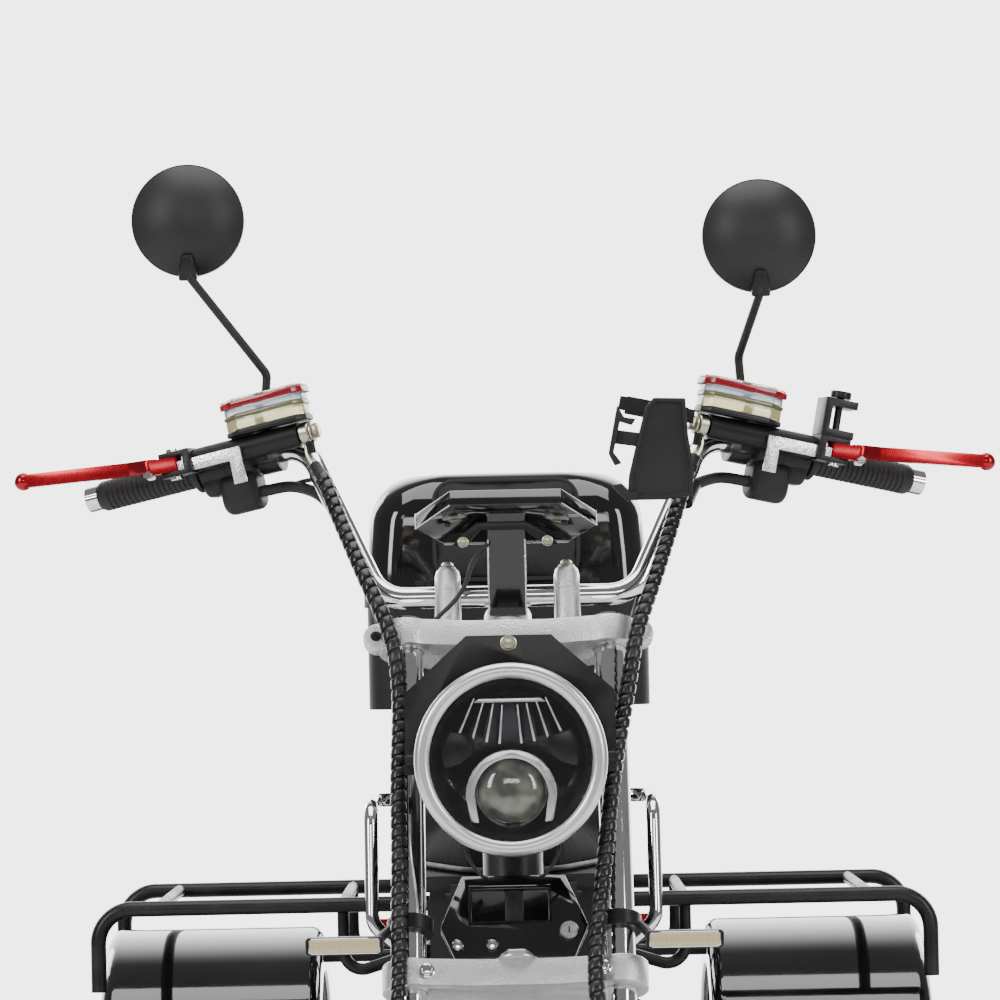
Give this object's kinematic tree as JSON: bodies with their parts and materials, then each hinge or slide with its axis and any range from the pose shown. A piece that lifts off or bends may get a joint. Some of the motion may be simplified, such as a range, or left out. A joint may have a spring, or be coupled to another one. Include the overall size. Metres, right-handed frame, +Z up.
{
  "type": "electric tricycle",
  "caption": "Electric tricycle with a raked fork, tall bent handlebar, round headlight, tipping saddle over a battery case, tubular rear rack and a hinged top case.",
  "frame": {"origin": "on the floor, under the middle of the whole machine's bounding box", "axes": "the front faces -Y, +Z is up, +X is the rider's left"},
  "size_m": [1.031, 1.8665, 1.4381],
  "materials": {
    "black_paint": "satin",
    "gloss_black": "gloss",
    "black_plastic": "matte",
    "battery_blue": "matte",
    "cast_alloy": "satin",
    "chrome": "polished",
    "satin_silver": "satin",
    "shock_red": "gloss",
    "lever_red": "anodised",
    "calliper_gold": "satin",
    "rubber": "matte",
    "tyre": "matte",
    "clear_amber": "clear",
    "signal_lens": "clear",
    "red_lens": "clear",
    "mirror": "polished",
    "clear_glass": "clear",
    "saddle_black": "grained",
    "pad_grey": "grained"
  },
  "bodies": {
    "chassis": {"frame": "black_paint", "neck_cover": "gloss_black", "footboard": "black_plastic", "battery_case": "black_plastic", "battery": "battery_blue", "swing_arm": "black_paint", "drive_axle": "cast_alloy", "rear_shocks": "shock_red", "rear_fenders": "gloss_black", "rear_rack": "black_paint", "grab_rails": "chrome", "case_carrier": "black_paint", "case_base": "black_plastic", "tail_lamps": "red_lens"},
    "steering": {"lower_clamp": "cast_alloy", "upper_clamp": "cast_alloy", "stanchions": "chrome", "sliders": "black_paint", "front_axle": "satin_silver", "front_fender": "gloss_black", "front_callipers": "calliper_gold", "handlebar": "chrome", "grips": "rubber", "brake_masters": "black_plastic", "reservoirs": "clear_amber", "levers": "lever_red", "switch_housings": "black_plastic", "mirrors": "black_plastic", "mirror_glass": "mirror", "display": "black_plastic", "phone_holder": "black_plastic", "bar_clamp": "black_plastic", "headlight_bracket": "black_paint", "headlight_shell": "black_paint", "headlight_ring": "satin_silver", "headlight_reflector": "chrome", "headlight_lens": "clear_glass", "turn_signals": "signal_lens", "brake_looms": "rubber"},
    "front_wheel": {"front_tyre": "tyre", "front_rim": "cast_alloy"},
    "rear_wheel_left": {"rear_tyre_left": "tyre", "rear_rim_left": "cast_alloy"},
    "rear_wheel_right": {"rear_tyre_right": "tyre", "rear_rim_right": "cast_alloy"},
    "saddle": {"saddle_pan": "black_plastic", "saddle_cushion": "saddle_black"},
    "top_lid": {"case_lid": "gloss_black", "backrest_pad": "pad_grey"}
  },
  "joints": [
    {"name": "steering", "type": "hinge", "parent": "chassis", "child": "steering", "pos_m": [0, -0.65451, 0.2159], "axis": [0, 0.4384, 0.8988], "range_deg": [-38, 38]},
    {"name": "front_wheel_spin", "type": "hinge", "parent": "steering", "child": "front_wheel", "pos_m": [0, -0.69675, 0.2365], "axis": [1, 0, 0], "continuous": true},
    {"name": "rear_left_spin", "type": "hinge", "parent": "chassis", "child": "rear_wheel_left", "pos_m": [0.358, 0.60325, 0.2255], "axis": [1, 0, 0], "continuous": true},
    {"name": "rear_right_spin", "type": "hinge", "parent": "chassis", "child": "rear_wheel_right", "pos_m": [-0.358, 0.60325, 0.2255], "axis": [1, 0, 0], "continuous": true},
    {"name": "saddle_hinge", "type": "hinge", "parent": "chassis", "child": "saddle", "pos_m": [0, 0.04525, 0.653], "axis": [1, 0, 0], "range_deg": [0, 75]},
    {"name": "lid_hinge", "type": "hinge", "parent": "chassis", "child": "top_lid", "pos_m": [0, 0.60925, 0.993], "axis": [1, 0, 0], "range_deg": [0, 70]}
  ]
}
